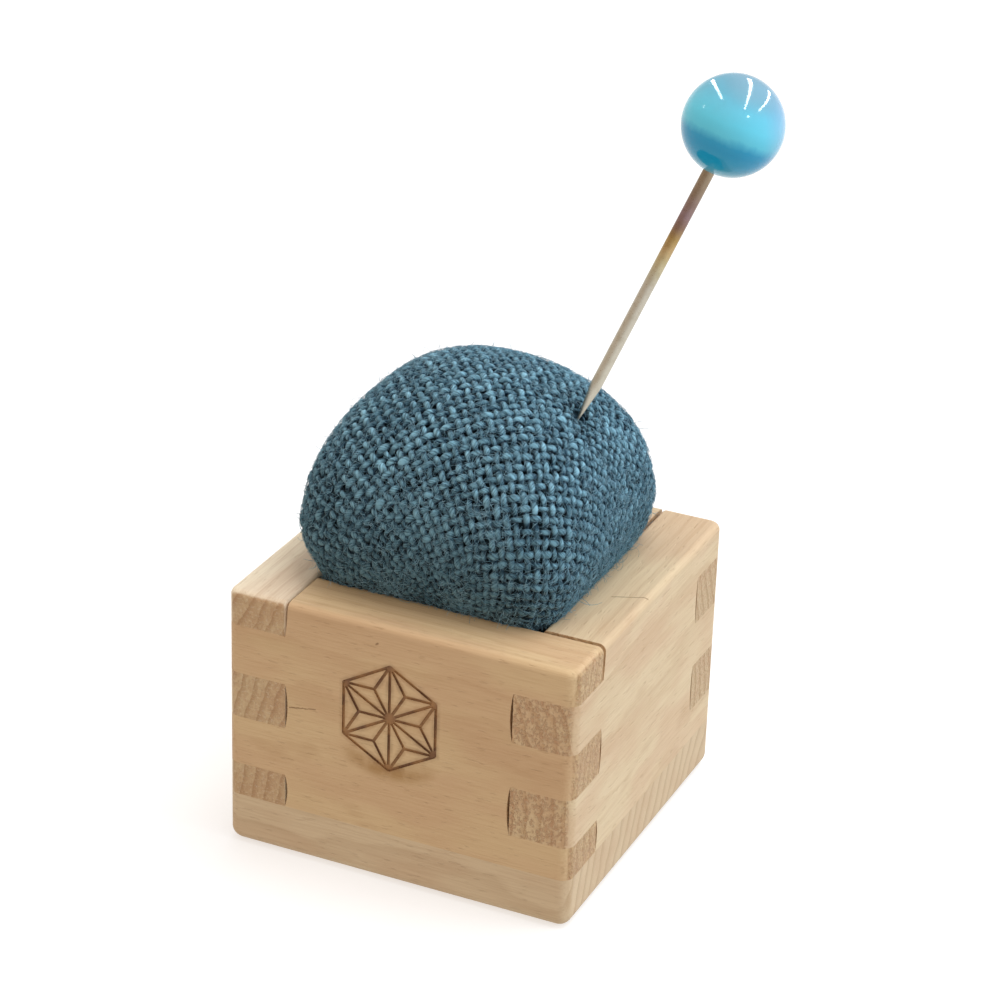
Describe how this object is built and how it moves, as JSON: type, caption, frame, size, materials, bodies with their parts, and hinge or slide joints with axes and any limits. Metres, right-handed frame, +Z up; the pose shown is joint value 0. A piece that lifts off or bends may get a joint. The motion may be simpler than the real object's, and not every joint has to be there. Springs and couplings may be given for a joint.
{
  "type": "pin cushion",
  "caption": "Small finger-jointed wooden box filled by a domed woven-linen cushion that holds a glass-headed pin",
  "frame": {"origin": "middle of the box's underside, on the surface it stands on", "axes": "+X to the right along the marked front wall, +Y from the front wall to the back wall, +Z up"},
  "size_m": [0.0348, 0.03, 0.0629],
  "materials": {
    "cypress_wood": "sanded, unfinished",
    "base_wood": "sanded, unfinished",
    "glue": "dried glue",
    "thread": "twisted thread",
    "linen": "coarse plain weave, slubby",
    "wadding": "loose fibre",
    "pin_steel": "drawn, heat-tinted near the head",
    "bead_glass": "polished, opalescent"
  },
  "bodies": {
    "box": {"wall_front": "cypress_wood", "wall_right": "cypress_wood", "wall_back": "cypress_wood", "wall_left": "cypress_wood", "base_board": "base_wood", "glue_bed": "glue", "gathering_thread": "thread", "cushion_cover": "linen", "cushion_stuffing": "wadding"},
    "pin": {"pin_shaft": "pin_steel", "pin_head": "bead_glass"}
  },
  "joints": [
    {"name": "pin_slide", "type": "slide", "parent": "box", "child": "pin", "axis": [0.315, 0.3355, 0.8878], "range_m": [-0.0195, 0.015]}
  ]
}
